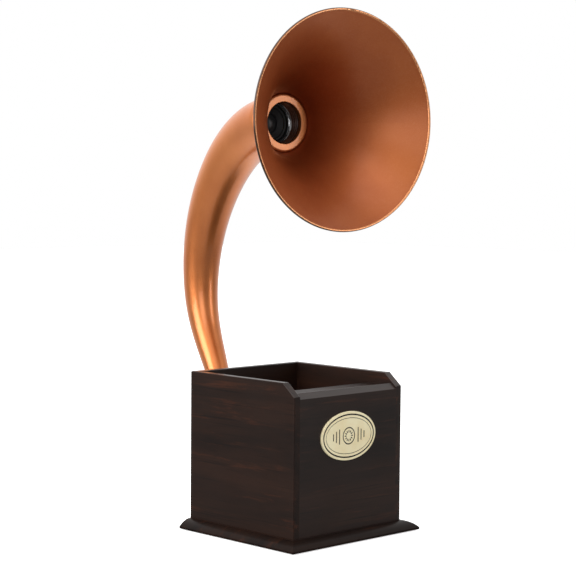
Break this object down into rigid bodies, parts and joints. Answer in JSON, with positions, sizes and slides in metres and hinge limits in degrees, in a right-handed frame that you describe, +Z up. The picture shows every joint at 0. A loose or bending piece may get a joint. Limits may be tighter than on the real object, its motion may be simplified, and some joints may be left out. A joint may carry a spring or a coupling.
{
  "type": "horn loudspeaker",
  "caption": "Powered loudspeaker with a swivelling copper-coloured gramophone horn on a dark wooden cabinet that has a telephone ledge on top.",
  "frame": {"origin": "centre of the cabinet's square, on the underside of the base pad", "axes": "+Z up; -Y the front, with the name plate; +X to the right as seen from the front"},
  "size_m": [0.2222, 0.2808, 0.5148],
  "materials": {
    "plinth": "satin lacquer",
    "base_pad": "matt rubber",
    "plinth_screws": "satin",
    "left_panel": "satin-gloss lacquer",
    "right_panel": "satin-gloss lacquer",
    "front_panel": "satin-gloss lacquer",
    "back_panel": "satin-gloss lacquer",
    "corner_blocks": "bare",
    "deck_panel": "satin lacquer",
    "riser_panel": "satin lacquer",
    "telephone_ledge": "satin-gloss lacquer",
    "name_plate": "satin",
    "name_plate_enamel": "gloss",
    "name_plate_pins": "satin",
    "swivel_washer": "satin",
    "horn_bracket": "satin black",
    "bracket_screws": "satin",
    "control_plate": "brushed",
    "control_plate_screws": "satin",
    "switch_body": "matt",
    "volume_control": "satin",
    "charging_socket": "satin",
    "audio_socket": "satin",
    "amplifier_board": "satin",
    "board_spacers": "matt",
    "board_screws": "satin",
    "heat_sink": "matt",
    "capacitors": "satin",
    "battery_cells": "gloss",
    "battery_strap": "satin",
    "strap_screws": "satin",
    "neck_pipe": "metallic copper, satin gloss",
    "flare": "metallic copper, satin gloss",
    "rim_bead": "metallic copper, satin gloss",
    "throat_flange": "metallic copper, satin gloss",
    "coupling_collar": "metallic copper, satin gloss",
    "foot_ferrule": "metallic copper, satin gloss",
    "throat_lining": "satin black",
    "trim_ring": "polished",
    "driver_gasket": "matt",
    "driver_frame": "satin black",
    "driver_screws": "satin",
    "driver_surround": "matt",
    "driver_spider": "matt",
    "driver_magnet": "matt",
    "driver_yoke": "satin",
    "driver_cone": "matt",
    "dust_cap": "satin",
    "voice_coil": "gloss",
    "thumbscrew": "satin",
    "rocker": "satin",
    "volume_knob": "satin"
  },
  "bodies": {
    "cabinet": {"plinth": "plinth", "base_pad": "base_pad", "plinth_screws": "plinth_screws", "left_panel": "left_panel", "right_panel": "right_panel", "front_panel": "front_panel", "back_panel": "back_panel", "corner_blocks": "corner_blocks", "deck_panel": "deck_panel", "riser_panel": "riser_panel", "telephone_ledge": "telephone_ledge", "name_plate": "name_plate", "name_plate_enamel": "name_plate_enamel", "name_plate_pins": "name_plate_pins", "swivel_washer": "swivel_washer", "horn_bracket": "horn_bracket", "bracket_screws": "bracket_screws", "control_plate": "control_plate", "control_plate_screws": "control_plate_screws", "switch_body": "switch_body", "volume_control": "volume_control", "charging_socket": "charging_socket", "audio_socket": "audio_socket", "amplifier_board": "amplifier_board", "board_spacers": "board_spacers", "board_screws": "board_screws", "heat_sink": "heat_sink", "capacitors": "capacitors", "battery_cells": "battery_cells", "battery_strap": "battery_strap", "strap_screws": "strap_screws"},
    "horn": {"neck_pipe": "neck_pipe", "flare": "flare", "rim_bead": "rim_bead", "throat_flange": "throat_flange", "throat_lining": "throat_lining", "trim_ring": "trim_ring", "driver_gasket": "driver_gasket", "driver_frame": "driver_frame", "driver_screws": "driver_screws", "driver_surround": "driver_surround", "driver_spider": "driver_spider", "driver_magnet": "driver_magnet", "driver_yoke": "driver_yoke", "coupling_collar": "coupling_collar", "foot_ferrule": "foot_ferrule"},
    "diaphragm": {"driver_cone": "driver_cone", "dust_cap": "dust_cap", "voice_coil": "voice_coil"},
    "thumbscrew": {"thumbscrew": "thumbscrew"},
    "rocker": {"rocker": "rocker"},
    "knob": {"volume_knob": "volume_knob"}
  },
  "joints": [
    {"name": "horn_swivel", "type": "hinge", "parent": "cabinet", "child": "horn", "pos_m": [0, 0.107, 0.087], "axis": [0, 0, 1], "range_deg": [-32, 48]},
    {"name": "diaphragm_travel", "type": "slide", "parent": "horn", "child": "diaphragm", "axis": [-0.1392, -0.9903, 0], "range_m": [-0.0007, 0.0007], "stiffness_N_per_m": 300},
    {"name": "thumbscrew_turn", "type": "hinge", "parent": "cabinet", "child": "thumbscrew", "pos_m": [0, 0.122, 0.076], "axis": [0, 1, 0], "range_deg": [0, 360]},
    {"name": "power_rocker", "type": "hinge", "parent": "cabinet", "child": "rocker", "pos_m": [-0.032, 0.0772, 0.036], "axis": [1, 0, 0], "range_deg": [0, 20]},
    {"name": "volume_turn", "type": "hinge", "parent": "cabinet", "child": "knob", "pos_m": [0.032, 0.082, 0.036], "axis": [0, -1, 0], "range_deg": [-150, 150]}
  ]
}
